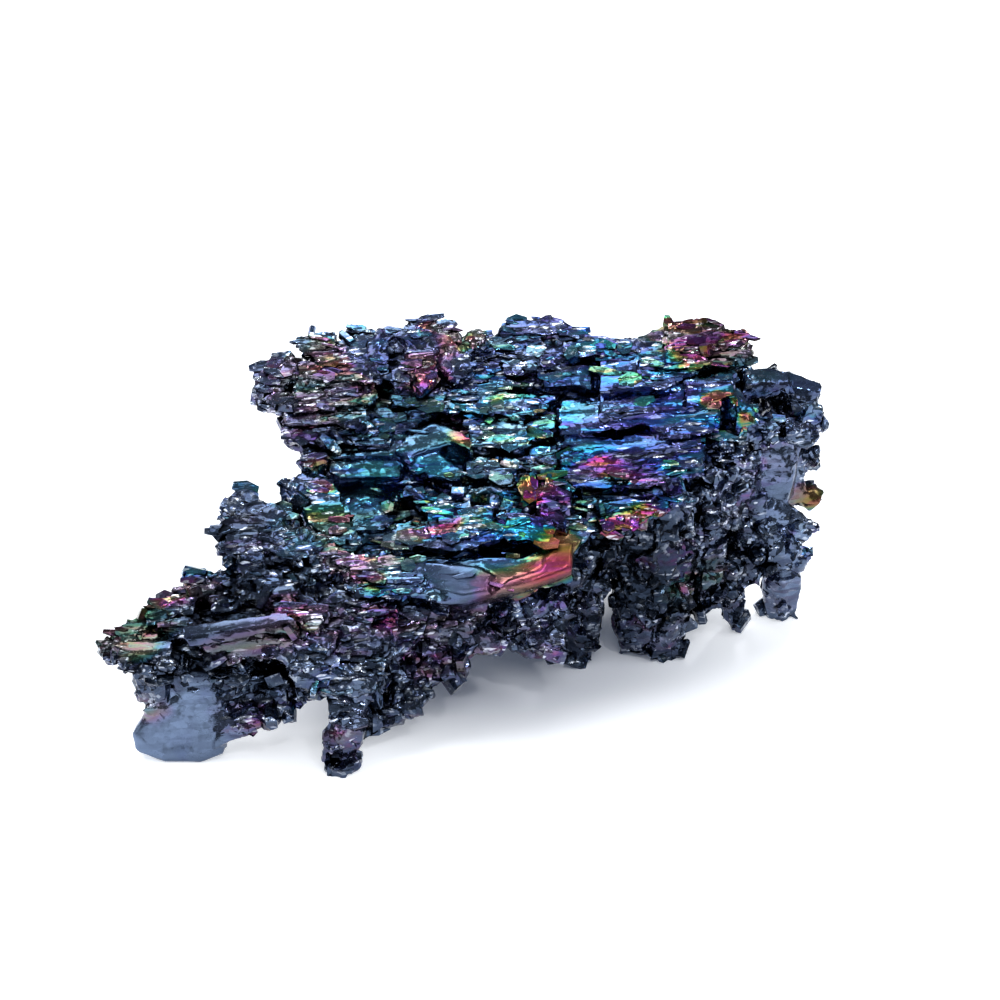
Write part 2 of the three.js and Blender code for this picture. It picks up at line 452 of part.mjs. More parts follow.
// The outer skin of a joined solid as a geometry, so that pockets sealed inside it are filled in.
function skinOf(solid) {
  const { numProp, numVert, vertProperties, triVerts } = solid.getMesh();
  const group = Array.from({ length: numVert }, (_, i) => i);
  const first = (i) => {
    while (group[i] !== i) i = group[i] = group[group[i]];
    return i;
  };
  for (let i = 0; i < triVerts.length; i += 3) {
    group[first(triVerts[i + 1])] = first(triVerts[i]);
    group[first(triVerts[i + 2])] = first(triVerts[i]);
  }
  let top = 0; // the highest point is on the outer skin
  for (let i = 1; i < numVert; i++) {
    if (vertProperties[i * numProp + 2] > vertProperties[top * numProp + 2]) top = i;
  }
  const outer = [];
  for (let i = 0; i < triVerts.length; i += 3) {
    if (first(triVerts[i]) === first(top)) outer.push(...triVerts.subarray(i, i + 3));
  }
  const position = new Float32Array(numVert * 3);
  for (let i = 0; i < numVert; i++) {
    position.set(vertProperties.subarray(i * numProp, i * numProp + 3), i * 3);
  }
  return new THREE.BufferGeometry()
    .setAttribute("position", new THREE.BufferAttribute(position, 3))
    .setIndex(outer);
}

const carbide = new THREE.MeshStandardMaterial({
  color: 0x39434f,
  roughness: 0.28,
  metalness: 0.85,
});

const crystals = new THREE.Mesh(skinOf(cluster()), carbide);
crystals.name = "crystal_cluster";
crystals.position.copy(FOOTPRINT_CENTRE).negate();

const specimen = new THREE.Group();
specimen.add(crystals);

export default specimen;
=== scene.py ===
"""A cluster of intergrown silicon carbide crystals with an iridescent thin film.

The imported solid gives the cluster's size and its large forms. A copy of it is broken up into fine facets,
and thin scales and blunt shards are grown over it. The film's thickness and strength, and how light and
how smooth the crystal is, are laid on in patches, and one material turns them into colour. Lengths are in
millimetres unless a comment or a name says otherwise.
"""

import math

import bpy
import numpy
from mathutils import Matrix, Vector
from mathutils.bvhtree import BVHTree


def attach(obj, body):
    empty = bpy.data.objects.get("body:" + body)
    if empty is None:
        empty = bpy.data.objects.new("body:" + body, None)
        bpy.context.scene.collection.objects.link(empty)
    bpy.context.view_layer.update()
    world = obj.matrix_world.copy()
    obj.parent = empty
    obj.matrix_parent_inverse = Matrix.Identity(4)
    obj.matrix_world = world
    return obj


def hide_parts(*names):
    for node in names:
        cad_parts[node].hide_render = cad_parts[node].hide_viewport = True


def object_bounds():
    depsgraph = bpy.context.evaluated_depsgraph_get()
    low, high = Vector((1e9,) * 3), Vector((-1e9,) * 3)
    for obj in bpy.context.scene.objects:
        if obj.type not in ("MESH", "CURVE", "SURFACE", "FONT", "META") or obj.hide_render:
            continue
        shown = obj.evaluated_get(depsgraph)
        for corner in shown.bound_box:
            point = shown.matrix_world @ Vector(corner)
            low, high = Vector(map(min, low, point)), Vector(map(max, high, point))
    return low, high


bl_info = {
    "name": "Silicon carbide specimen",
    "version": (1, 0, 0),
    "blender": (4, 5, 0),
    "location": "3D View > Sidebar > Specimen",
    "description": "Grows the fine crystals and the iridescent film of a silicon carbide cluster",
    "category": "Object",
}

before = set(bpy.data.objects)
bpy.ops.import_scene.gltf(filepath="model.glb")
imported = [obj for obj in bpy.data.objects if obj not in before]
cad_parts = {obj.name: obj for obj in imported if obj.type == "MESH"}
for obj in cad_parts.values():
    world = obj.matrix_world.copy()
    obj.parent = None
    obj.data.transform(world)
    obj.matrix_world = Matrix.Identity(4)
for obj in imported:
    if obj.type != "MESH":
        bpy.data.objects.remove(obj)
CAD_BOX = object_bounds()

MM = 0.001  # metres in a millimetre
SQUARE_MM = 1e-6  # square metres in a square millimetre
TOUCHING = 1e-6  # corners nearer than this, in metres, are one corner
TINY = 1e-6  # keeps a division by a length from failing
NODE = "crystal_cluster"
BODY = "root"

# The plateau's own frame: u to the right, w up its slope, h out of it.
PLATEAU_TILT = math.radians(34)
PLATEAU_CENTRE = Vector((2.6, 0.9, 26.9))
PLATEAU_TURN = Matrix.Rotation(PLATEAU_TILT, 3, "X")
PLATEAU_OUT = (0.0, -math.sin(PLATEAU_TILT), math.cos(PLATEAU_TILT))
PLATEAU_RIM = (-4.5, -2.5)  # the heights h between which the plateau's own surface sets in
SHEAR = 0.10  # how much the plateau's ledges and flecks slant up to the right

# The colours that the film shows as it gets thicker, over one full round.
FILM = (
    (0.00, (0.010, 0.014, 0.050)),
    (0.09, (0.040, 0.018, 0.200)),
    (0.20, (0.010, 0.070, 0.330)),
    (0.30, (0.010, 0.250, 0.400)),
    (0.38, (0.008, 0.200, 0.190)),
    (0.46, (0.070, 0.320, 0.070)),
    (0.54, (0.360, 0.300, 0.040)),
    (0.62, (0.440, 0.170, 0.050)),
    (0.69, (0.400, 0.060, 0.070)),
    (0.77, (0.350, 0.030, 0.230)),
    (0.87, (0.130, 0.035, 0.300)),
    (1.00, (0.010, 0.014, 0.050)),
)

# The camera looks at the front from a little above. Its view is square and VIEW_SIZE units wide.
VIEW_SIZE = 1000
CAMERA_AIM = Vector((2.9, -1.1, 22.5))
CAMERA_TILT = math.radians(30)
CAMERA_DISTANCE = 321
LENS = 100
SENSOR = 36
CAMERA_BACK = Vector((0, -math.cos(CAMERA_TILT), math.sin(CAMERA_TILT)))
CAMERA_UP = Vector((0, math.sin(CAMERA_TILT), math.cos(CAMERA_TILT)))
CAMERA_PLACE = CAMERA_AIM + CAMERA_BACK * CAMERA_DISTANCE

# The crystal's colours, patch by patch, as the camera sees them. A row gives the patch's place across
# and down the view, its reach in millimetres, the film's thickness, how strong the film's colour is, how
# light the crystal is, and how smooth its faces are. The lightness is partly the crystal's own tone and
# partly painted light and shade: raised where facets catch highlights, lowered in hollows and on lower
# faces in shadow.
PATCHES = {
    "right terraces": (
        (690, 340, 4, 0.7, 0.8, 0.05, 0.1),
        (714, 342, 3, 0.88, 0.8, 0.1, 0.1),
        (724, 353, 3, 0.68, 0.8, 0.06, 0.1),
        (692, 364, 4, 0.75, 0.8, 0.1, 0.1),
        (660, 350, 4, 0.3, 0.12, 0.5, 0.3),
        (656, 368, 2.5, 0.3, 0.5, 0.4, 0.3),
        (744, 358, 3, 0.3, 0.1, 0.5, 0.2),
        (585, 386, 5, 0.36, 0.35, 0.42, 0.9),
        (650, 385, 6, 0.27, 0.8, 0.55, 0.2),
        (714, 384, 3, 0.32, 0.6, 0.36, 0.4),
        (718, 397, 2.2, 0.82, 0.9, 0.34, 0.5),
        (706, 402, 2.4, 0.8, 0.9, 0.34, 0.5),
        (600, 404, 3, 0.3, 0.1, 0.9, 0),
        (562, 406, 1.6, 0.31, 0.8, 0.5, 0),
        (630, 405, 6, 0.25, 0.75, 0.6, 0.5),
        (680, 405, 5, 0.36, 0.7, 0.55, 0.5),
        (590, 430, 6, 0.36, 0.8, 0.5, 0.5),
        (650, 430, 5, 0.23, 0.85, 0.5, 0.5),
        (705, 430, 2.5, 0.31, 0.9, 0.6, 0),
        (600, 461, 3, 0.84, 0.9, 0.4, 0.4),
        (622, 473, 2.5, 0.86, 0.9, 0.4, 0.4),
        (582, 472, 2.5, 0.9, 0.9, 0.4, 0.3),
        (655, 479, 2.5, 0.86, 0.8, 0.36, 0.3),
        (670, 455, 5, 0.2, 0.9, 0.36, 0.4),
        (676, 468, 3, 0.31, 0.8, 0.5, 0.2),
        (585, 475, 5, 0.37, 0.8, 0.35, 0.3),
        (620, 505, 5, 0.42, 0.7, 0.18, 0.2),
        (648, 514, 3, 0.84, 0.9, 0.36, 0.4),
        (625, 522, 3, 0.86, 0.8, 0.34, 0.3),
        (665, 500, 2.5, 0.2, 0.8, 0.4, 0),
        (598, 517, 3, 0.3, 0.1, 0.9, 0),
    ),
    "middle ledges": (
        (550, 345, 7, 0.17, 0.45, 0.55, 0),
        (520, 360, 5, 0.2, 0.4, 0.6, 0),
        (468, 338, 2, 0.67, 0.9, 0.4, 0),
        (478, 358, 2.5, 0.3, 0.2, 0.95, 0),
        (480, 375, 3, 0.21, 0.9, 0.5, 0),
        (495, 390, 2.5, 0.47, 0.95, 0.6, 0),
        (465, 399, 2, 0.31, 0.95, 0.7, 0),
        (520, 395, 4, 0.36, 0.7, 0.4, 0),
        (527, 413, 3, 0.3, 0.2, 0.85, 0),
        (482, 417, 3, 0.85, 0.9, 0.4, 0),
        (488, 430, 2, 0.2, 0.95, 0.5, 0),
        (510, 430, 2, 0.6, 0.8, 0.7, 0),
        (510, 440, 5, 0.54, 0.4, 0.8, 0),
        (530, 463, 4, 0.31, 0.7, 0.85, 0),
        (547, 454, 1.5, 0.55, 1, 0.7, 0),
        (490, 471, 4, 0.3, 0.1, 0.5, 0),
    ),
    "knot at the top": (
        (428, 335, 4, 0.9, 0.12, 0.6, 0.3),
        (410, 342, 2, 0.2, 0.7, 0.5, 0.3),
        (431, 328, 1.2, 0.6, 0.45, 0.3, 0),
        (455, 358, 4, 0.9, 0.15, 0.7, 0.5),
        (457, 342, 1.5, 0.63, 0.8, 0.6, 0),
        (418, 362, 2, 0.82, 0.8, 0.32, 0.2),
        (424, 378, 2.5, 0.82, 0.8, 0.6, 0.2),
        (402, 381, 2, 0.3, 0.1, 0.9, 0),
    ),
    "left shelf and cap": (
        (335, 385, 5, 0.72, 0.42, 0.2, 0),
        (290, 402, 4, 0.9, 0.06, 0.42, 0),
        (300, 350, 3, 0.3, 0.08, 0.5, 0),
        (316, 376, 3, 0.66, 0.55, 0.2, 0.1),
        (341, 412, 2, 0.6, 0.6, 0.9, 0),
        (327, 356, 3, 0.74, 0.4, 0.5, 0),
        (340, 435, 8, 0.92, 0.2, 0.22, 0),
        (275, 385, 4, 0.9, 0.05, 0.6, 0.6),
        (261, 385, 2, 0.9, 0.05, 0.9, 0),
        (272, 368, 3, 0.9, 0.06, 0.5, 0.2),
        (375, 358, 4, 0.2, 0.5, 0.6, 0.6),
        (351, 333, 2.5, 0.3, 0.1, 0.85, 0),
        (390, 430, 6, 0.36, 0.35, 0.35, 0.2),
    ),
    "lower left ledges": (
        (365, 471, 4, 0.38, 0.8, 0.6, 0.9),
        (362, 507, 5, 0.38, 0.7, 0.42, 0.7),
        (315, 478, 3, 0.3, 0.1, 0.75, 0),
        (324, 486, 1.5, 0.85, 0.8, 0.5, 0),
        (328, 524, 5, 0.66, 0.25, 0.35, 0.1),
        (304, 465, 2, 0.3, 0.1, 0.5, 0),
        (319, 463, 1.5, 0.76, 0.9, 0.5, 0),
        (412, 522, 4, 0.9, 0.2, 0.08, 0),
    ),
    "claw and lens": (
        (430, 440, 5, 0.36, 0.35, 0.65, 0.8),
        (465, 441, 2.5, 0.8, 0.7, 0.6, 0.2),
        (437, 466, 4, 0.44, 0.9, 0.6, 0.8),
        (414, 466, 1.5, 0.5, 0.9, 0.6, 0),
        (430, 484, 2.5, 0.12, 0.9, 0.45, 0),
        (440, 500, 6, 0.36, 0.4, 0.5, 0.2),
        (486, 500, 2, 0.55, 0.9, 0.6, 0),
    ),
    "front plate and its slab": (
        (531, 488, 2, 0.74, 1, 0.5, 0.6),
        (530, 500, 1.2, 0.6, 0.9, 0.6, 0.3),
        (560, 495, 3.5, 0.88, 0.8, 0.45, 0.4),
        (555, 517, 3.5, 0.1, 0.8, 0.45, 0.4),
        (408, 540, 3, 0.84, 0.3, 0.75, 0),
        (452, 520, 2.5, 0.84, 0.7, 0.5, 0),
        (445, 512, 2, 0.31, 0.8, 0.7, 0),
        (480, 525, 1.4, 0.5, 0.8, 0.6, 0),
        (502, 531, 4, 0.37, 0.8, 0.55, 0.2),
        (500, 552, 3.5, 0.31, 0.95, 0.6, 0),
        (510, 562, 3, 0.36, 0.8, 0.5, 0),
        (440, 576, 4, 0.2, 0.08, 0.6, 1),
        (475, 575, 5, 0.2, 0.08, 0.65, 1),
        (403, 578, 2, 0.3, 0.1, 0.9, 0),
        (430, 592, 1.5, 0.3, 0.1, 0.9, 0),
        (408, 590, 3, 0.37, 0.6, 0.45, 0),
        (562, 549, 4, 0.65, 1, 0.42, 1),
        (556, 541, 2, 0.7, 1, 0.3, 1),
        (553, 566, 2.5, 0.76, 1, 0.42, 1),
        (545, 573, 2.5, 0.78, 1, 0.4, 1),
        (520, 580, 4, 0.74, 0.9, 0.4, 0.8),
        (344, 563, 3, 0.9, 0.1, 0.75, 0),
        (361, 552, 2.5, 0.31, 0.6, 0.6, 0),
        (370, 564, 3, 0.76, 0.5, 0.5, 0),
        (395, 558, 4, 0.37, 0.5, 0.45, 0),
    ),
    "arm, hanging plate and stub": (
        (122, 632, 3.5, 0.63, 0.95, 0.05, 0.3),
        (107, 652, 2.5, 0.9, 0.1, 0.25, 0.2),
        (148, 641, 2.5, 0.2, 0.1, 0.4, 0.8),
        (137, 650, 1.5, 0.64, 0.8, 0.2, 0.5),
        (150, 692, 3.5, 0.9, 0.05, 0.15, 0),
        (166, 680, 2.5, 0.9, 0.05, 0.15, 0),
        (150, 712, 2, 0.77, 0.45, 0.3, 0),
        (185, 592, 3, 0.76, 0.35, 0.4, 0),
        (225, 629, 4, 0.2, 0.06, 0.5, 0.9),
        (260, 623, 4, 0.2, 0.06, 0.5, 0.9),
        (245, 642, 4, 0.8, 0.35, 0.16, 0.3),
        (300, 625, 4, 0.82, 0.5, 0.4, 0),
        (200, 655, 4, 0.2, 0.08, 0.45, 0.1),
        (300, 650, 4, 0.2, 0.1, 0.5, 0.1),
        (330, 690, 5, 0.2, 0.1, 0.45, 0),
        (275, 700, 4, 0.2, 0.1, 0.3, 0),
        (245, 675, 4, 0.2, 0.05, 0.08, 0.3),
        (223, 672, 3, 0.2, 0.05, 0.08, 0.5),
        (178, 725, 4.5, 0.2, 0.02, 1, 1),
        (156, 740, 3.5, 0.2, 0.02, 0.95, 1),
        (194, 702, 3, 0.2, 0.02, 1.05, 1),
        (205, 736, 3.5, 0.2, 0.02, 0.8, 1),
        (240, 720, 4, 0.87, 0.2, 0.25, 0),
        (345, 740, 5, 0.9, 0.15, 0.35, 0.3),
        (348, 622, 4, 0.9, 0.2, 0.2, 0.3),
        (400, 648, 1.5, 0.3, 0.1, 0.9, 0),
        (385, 617, 2.5, 0.85, 0.6, 0.35, 0),
    ),
    "body below the plateau": (
        (545, 632, 5, 0.9, 0.1, 0.42, 0.3),
        (524, 608, 1.5, 0.3, 0.1, 0.9, 0),
        (553, 615, 2, 0.3, 0.1, 0.8, 0),
        (582, 600, 3, 0.9, 0.1, 0.5, 0.3),
        (450, 645, 6, 0.86, 0.25, 0.25, 0),
    ),
    "right wall, block and group": (
        # The block is near black: partly its own dark colour, partly painted shade on its lower faces.
        (650, 590, 7, 0.62, 0.04, 0.04, 0),
        (640, 550, 6, 0.9, 0.02, 0.03, 0),
        (684, 592, 2, 0.64, 0.5, 0.25, 0),
        (660, 633, 3, 0.9, 0.1, 0.5, 0),
        (717, 540, 6, 0.9, 0.06, 0.3, 0.1),
        (715, 600, 4, 0.9, 0.06, 0.32, 0.1),
        (712, 500, 4, 0.9, 0.06, 0.5, 0.1),
        (725, 530, 3, 0.9, 0.06, 0.45, 0),
        (740, 600, 3, 0.9, 0.06, 0.3, 0.1),
        (770, 382, 3, 0.4, 0.2, 0.3, 0.5),
        (802, 387, 3, 0.25, 0.3, 0.45, 0.7),
        (805, 412, 3, 0.5, 0.12, 0.8, 0.4),
        # Painted shade: a dark hollow between the crystals.
        (780, 412, 3, 0.9, 0.1, 0.05, 0),
        # Partly painted highlights: the light patches on the group's big facets.
        (787, 455, 4, 0.9, 0.06, 0.7, 0.6),
        (790, 485, 4, 0.9, 0.06, 0.6, 0.6),
        (808, 498, 2, 0.68, 0.85, 0.3, 0.8),
        (775, 512, 3.5, 0.2, 0.1, 0.8, 0.7),
        (795, 540, 4, 0.2, 0.1, 0.6, 0.3),
        (785, 590, 5, 0.9, 0.06, 0.65, 0.5),
        (785, 530, 2, 0.3, 0.1, 0.9, 0),
        (719, 373, 3, 0.3, 0.1, 0.85, 0),
        (746, 420, 1.2, 0.72, 0.6, 0.3, 0.6),
        # Painted shade: these three darken the hollows between the crystals to near black.
        (776, 410, 3, 0.9, 0.05, 0.02, 0),
        (752, 512, 3, 0.9, 0.05, 0.03, 0),
        (742, 562, 2.5, 0.9, 0.06, 0.05, 0),
        (716, 572, 2.5, 0.64, 0.4, 0.25, 0),
        (735, 465, 6, 0.9, 0.06, 0.6, 0.1),
    ),
    "left blades": (
        # Painted shade: the first row darkens the gaps between the blades.
        (245, 515, 3, 0.9, 0.1, 0.12, 0.4),
        (250, 545, 3, 0.9, 0.1, 0.2, 0.2),
        (232, 510, 1.5, 0.3, 0.1, 0.8, 0),
        (285, 520, 2, 0.3, 0.1, 0.6, 0.3),
    ),
}
PATCH_STRETCH = (0.6, 1, 1)  # a patch is longer from side to side than its reach
PATCH_FADE = 2.6  # how fast a patch fades towards its reach

# The surface between the patches is dark and blue, and a little more colourful on the plateau's top.
# Each pair is a value off the plateau, and how much is added on its top.
BETWEEN_PATCHES = 0.16  # how much this surface counts beside a patch
PLAIN_THICKNESS = (0.18, 0.08)
PLAIN_GLOW = (0.08, 0.27)
PLAIN_LIGHT = (0.20, 0.12)
PLAIN_HUE = 0.3  # how much its thickness counts beside a patch's
PLAIN_CALM_ON_TOP = 0.1
TOP_HEIGHTS = (-5, -2.5)  # the heights h between which the top sets in
TOP_FOOT = (-17, -13)  # the places w up the slope between which the top sets in

MOST_TRIANGLES = 190000  # in the crust
SHARP_EDGE = math.radians(28)  # the crust's faces meet in a visible edge above this
SPARE = 0.9  # how far a piece may stand out of the solid's box

# The studio's lights: the place of each and its size in metres, and its power in watts.
STUDIO_LIGHTS = (
    ("top_softbox", (-0.10, 0.25, 0.60), 0.45, 3.2),
    ("left_softbox", (-0.55, -0.15, 0.35), 0.30, 1.1),
    ("right_softbox", (0.55, -0.10, 0.40), 0.25, 0.9),
    ("front_softbox", (0.05, -0.55, 0.75), 0.30, 1.0),
    ("rear_spark", (0.20, 0.50, 0.40), 0.06, 0.8),
    ("left_spark", (-0.40, 0.30, 0.60), 0.06, 0.8),
    ("front_spark", (0.25, -0.40, 0.70), 0.05, 0.8),
)
LIGHT_AIM = Vector((0, 0, 0.015))  # metres
SOFT_WHITE = (0.94, 0.97, 1.0, 1)
PAPER_SIZE = 20.0  # metres
PAPER_GLOW = 0.55
# The painted shadow on the paper: how far it reaches from the middle, and its dark blue colour.
SHADE_REACH = (0.042, 0.024)  # metres to the side, and forward
SHADE = (0.05, 0.07, 0.12, 1)

# Crystals that have grown into the crust: both ends of each, its width and its depth.
INGROWN = (
    ((-31.5, -18.3, 11.0), (-25.5, -19.0, 10.4), 4.6, 3.4),
    ((14.2, -2.4, 15.2), (17.4, 2.2, 13.4), 4.0, 3.0),
    ((-36.5, -16.0, 15.4), (-31.5, -14.5, 16.6), 3.0, 2.4),
    ((-28.0, -19.5, 15.2), (-20.5, -20.0, 15.0), 1.8, 1.6),
    ((-17.5, -17.6, 14.2), (-11.5, -15.5, 15.4), 2.6, 2.2),
    ((-9.0, -13.2, 13.0), (-3.2, -12.4, 13.8), 2.8, 2.2),
    ((36.0, 7.0, 27.0), (39.8, 8.6, 25.6), 2.8, 2.2),
    ((31.0, 6.6, 21.8), (30.4, 5.4, 16.0), 2.6, 2.0),
    ((-27.0, -12.2, 15.6), (-22.6, -14.2, 18.0), 3.4, 3.0),
    ((33.8, 6.6, 14.2), (37.6, 7.2, 10.2), 4.2, 2.6),
)


# ---- Settings ----


class SpecimenSettings(bpy.types.PropertyGroup):
    """Sizes and colours that a user would change"""

    grain: bpy.props.FloatProperty(
        name="Grain",
        description="Size of the smallest step in the crust",
        default=0.00025,
        min=0.0001,
        max=0.001,
        precision=5,
        unit="LENGTH",
    )
    scales: bpy.props.FloatProperty(
        name="Scales",
        description="How many thin scales grow on a square millimetre of the plateau",
        default=0.45,
        min=0.0,
        max=3.0,
    )
    shards: bpy.props.FloatProperty(
        name="Shards",
        description="How many blunt crystals grow on a square millimetre of the rest",
        default=0.12,
        min=0.0,
        max=1.0,
    )
    dark_crystal: bpy.props.FloatVectorProperty(
        name="Dark crystal",
        description="Colour of the crystal where it is darkest",
        default=(0.010, 0.015, 0.026),
        min=0.0,
        max=1.0,
        subtype="COLOR",
    )
    light_crystal: bpy.props.FloatVectorProperty(
        name="Light crystal",
        description="Colour of the crystal where it is lightest",
        default=(0.150, 0.205, 0.312),
        min=0.0,
        max=1.0,
        subtype="COLOR",
    )
    roughness: bpy.props.FloatProperty(
        name="Roughness",
        description="Roughness of the glossiest faces",
        default=0.10,
        min=0.0,
        max=1.0,
        subtype="FACTOR",
    )
    floor: bpy.props.FloatVectorProperty(
        name="Floor",
        description="Colour of the paper that the specimen stands on",
        default=(0.90, 0.92, 0.96),
        min=0.0,
        max=1.0,
        subtype="COLOR",
    )


# ---- Node trees ----


class Socket:
    """A number, colour or vector on its way through a node tree. Arithmetic on it adds Math nodes."""

    def __init__(self, net, socket):
        self.net = net
        self.socket = socket

    def other(self, name):
        """Another output of the same node."""
        return Socket(self.net, self.socket.node.outputs[name])

    def math(self, operation, *rest):
        values = dict(enumerate((self, *rest)))
        return self.net.add("ShaderNodeMath", {"operation": operation}, values)

    def vector(self, operation, other=None, output="Vector"):
        values = {0: self} if other is None else {0: self, 1: other}
        return self.net.add("ShaderNodeVectorMath", {"operation": operation}, values, output)

    def times(self, factor):
        """A vector multiplied by a number."""
        settings = {"operation": "SCALE"}
        return self.net.add("ShaderNodeVectorMath", settings, {0: self, "Scale": factor})

    def __add__(self, other):
        return self.math("ADD", other)

    __radd__ = __add__

    def __mul__(self, other):
        return self.math("MULTIPLY", other)

    __rmul__ = __mul__

    def __sub__(self, other):
        return self.math("SUBTRACT", other)

    def __rsub__(self, other):
        return self.net.add("ShaderNodeMath", {"operation": "SUBTRACT"}, {0: other, 1: self})

    def __truediv__(self, other):
        return self.math("DIVIDE", other)


class Net:
    """A node tree that is written as expressions."""

    def __init__(self, tree):
        self.tree = tree

    def add(self, kind, settings=None, values=None, output=0):
        """Adds a node with its settings, then its sockets' values or links, and gives one of its outputs."""
        node = self.tree.nodes.new(kind)
        for name, value in (settings or {}).items():
            if name == "stops":
                set_stops(node.color_ramp, value)
            else:
                setattr(node, name, value)
        for key, value in (values or {}).items():
            target = node.inputs[key]
            if isinstance(value, Socket):
                self.tree.links.new(value.socket, target)
            else:
                target.default_value = value
        return Socket(self, node.outputs[output])

    def mix(self, factor, first, second, blend="MIX"):
        """A colour between two colours."""
        settings = {"data_type": "RGBA", "clamp_factor": True, "blend_type": blend}
        return self.add("ShaderNodeMix", settings, {"Factor": factor, 6: first, 7: second}, 2)

    def ramp(self, value, low, high, start=0.0, end=1.0):
        """A number that runs from start to end, smoothly, as value runs from low to high."""
        settings = {"interpolation_type": "SMOOTHSTEP"}
        values = {"Value": value, "From Min": low, "From Max": high, "To Min": start, "To Max": end}
        return self.add("ShaderNodeMapRange", settings, values)

    def noise(self, place, size, detail=2.0, shift=(0.0, 0.0, 0.0)):
        """Soft noise from 0 to 1, with swellings about size across."""
        moved = place.vector("ADD", shift)
        return self.add("ShaderNodeTexNoise", None, {"Vector": moved, "Scale": 1 / size, "Detail": detail})

    def cells(self, place, size, shift=(0.0, 0.0, 0.0)):
        """Random cells about size across: the distance from each middle, its Color and its Position."""
        moved = place.vector("ADD", shift).times(1 / size)
        return self.add("ShaderNodeTexVoronoi", {"feature": "F1"}, {"Vector": moved, "Scale": 1.0})

    def facets(self, place, size, shift=(0.0, 0.0, 0.0)):
        """The height of flat, randomly tilted facets over cells about size across, in cell sizes."""
        cell = self.cells(place, size, shift)
        lean = cell.other("Color").vector("SUBTRACT", (0.5, 0.5, 0.5))
        inside = place.vector("ADD", shift).times(1 / size).vector("SUBTRACT", cell.other("Position"))
        return inside.vector("DOT_PRODUCT", lean, "Value")

    def terraced(self, value):
        """A value that rises in steps of one, with a short steep ramp between flat treads."""
        whole = value.math("FLOOR")
        return whole + self.ramp(value - whole, 0.0, 0.3)

    def named(self, name):
        """A number stored on the mesh, in a Geometry Nodes tree."""
        return self.add("GeometryNodeInputNamedAttribute", {"data_type": "FLOAT"}, {"Name": name})

    def random(self, low, high, seed):
        """A random number, or a random vector where low and high are vectors."""
        if isinstance(low, tuple):
            settings = {"data_type": "FLOAT_VECTOR"}
            return self.add("FunctionNodeRandomValue", settings, {0: low, 1: high, "Seed": seed})
        settings = {"data_type": "FLOAT"}
        return self.add("FunctionNodeRandomValue", settings, {2: low, 3: high, "Seed": seed}, 1)


def set_stops(ramp, stops):
    """Gives a colour ramp its (place, colour) stops."""
    while len(ramp.elements) > 1:
        ramp.elements.remove(ramp.elements[-1])
    for index, (place, colour) in enumerate(stops):
        stop = ramp.elements[0] if index == 0 else ramp.elements.new(place)
        stop.position = place
        stop.color = (*colour, 1.0)


def on_plateau(net, place):
    """A place in millimetres as the plateau's u, w and h."""
    moved = place.vector("SUBTRACT", tuple(PLATEAU_CENTRE))
    settings = {"rotation_type": "X_AXIS"}
    return net.add("ShaderNodeVectorRotate", settings, {"Vector": moved, "Angle": -PLATEAU_TILT})


def drawn_out(net, place, stretch):
    """A place on the plateau, squeezed along u, so that a pattern on it comes out long from side to side."""
    split = net.add("ShaderNodeSeparateXYZ", None, {0: on_plateau(net, place)})
    u, w, h = split, split.other("Y"), split.other("Z")
    return net.add("ShaderNodeCombineXYZ", None, {0: u * stretch, 1: w - u * SHEAR, 2: h})


def plateau_share(net, place, normal, steep, level):
    """How much the surface belongs to the plateau's top: it faces out of the slope, and lies near its top."""
    h = net.add("ShaderNodeSeparateXYZ", None, {0: on_plateau(net, place)}).other("Z")
    facing = normal.vector("DOT_PRODUCT", PLATEAU_OUT, "Value")
    return net.ramp(facing, steep, level) * net.ramp(h, *PLATEAU_RIM)


def geometry_tree(name):
    """An empty Geometry Nodes tree with one geometry in and one out, and its two ends."""
    tree = bpy.data.node_groups.new(name, "GeometryNodeTree")
    tree.interface.new_socket("Geometry", in_out="INPUT", socket_type="NodeSocketGeometry")
    tree.interface.new_socket("Geometry", in_out="OUTPUT", socket_type="NodeSocketGeometry")
    net = Net(tree)
    return net, net.add("NodeGroupInput"), tree.nodes.new("NodeGroupOutput")


# ---- Meshes ----


def only(piece):
    """Leaves one object selected and active."""
    bpy.ops.object.select_all(action="DESELECT")
    piece.select_set(True)
    bpy.context.view_layer.objects.active = piece


def grow(piece, kind, **settings):
    """Adds a modifier to a piece and applies it."""
    only(piece)
    modifier = piece.modifiers.new(kind.title(), kind)
    for name, value in settings.items():
        setattr(modifier, name, value)
    bpy.ops.object.modifier_apply(modifier=modifier.name)


def copy_of(source, name):
    """A copy of an object with its own mesh, and its corners merged."""
    piece = source.copy()
    piece.data = source.data.copy()
    piece.name = name
    piece.parent = None
    for key in list(piece.keys()):
        del piece[key]
    bpy.context.scene.collection.objects.link(piece)
    only(piece)
    bpy.ops.object.mode_set(mode="EDIT")
    bpy.ops.mesh.select_all(action="SELECT")
    bpy.ops.mesh.remove_doubles(threshold=TOUCHING)
    bpy.ops.object.mode_set(mode="OBJECT")
    return piece


def corners_of(piece):
    """A piece's corners as an array in millimetres."""
    flat = numpy.empty(len(piece.data.vertices) * 3, dtype=numpy.float32)
    piece.data.vertices.foreach_get("co", flat)
    return flat.reshape(-1, 3) / MM


def keep_in_box(piece):
    """Keeps a piece above the floor and inside the solid's box, with a little spare round it."""
    low = [edge / MM - SPARE for edge in CAD_BOX[0]]
    high = [edge / MM + SPARE for edge in CAD_BOX[1]]
    low[2] = 0.0
    places = numpy.clip(corners_of(piece), low, high) * MM
    piece.data.vertices.foreach_set("co", places.astype(numpy.float32).ravel())
    piece.data.update()


def smoothstep(value, low, high):
    """A share that runs from 0 to 1, smoothly, as the values run from low to high."""
    share = numpy.clip((value - low) / (high - low), 0, 1)
    return share * share * (3 - 2 * share)


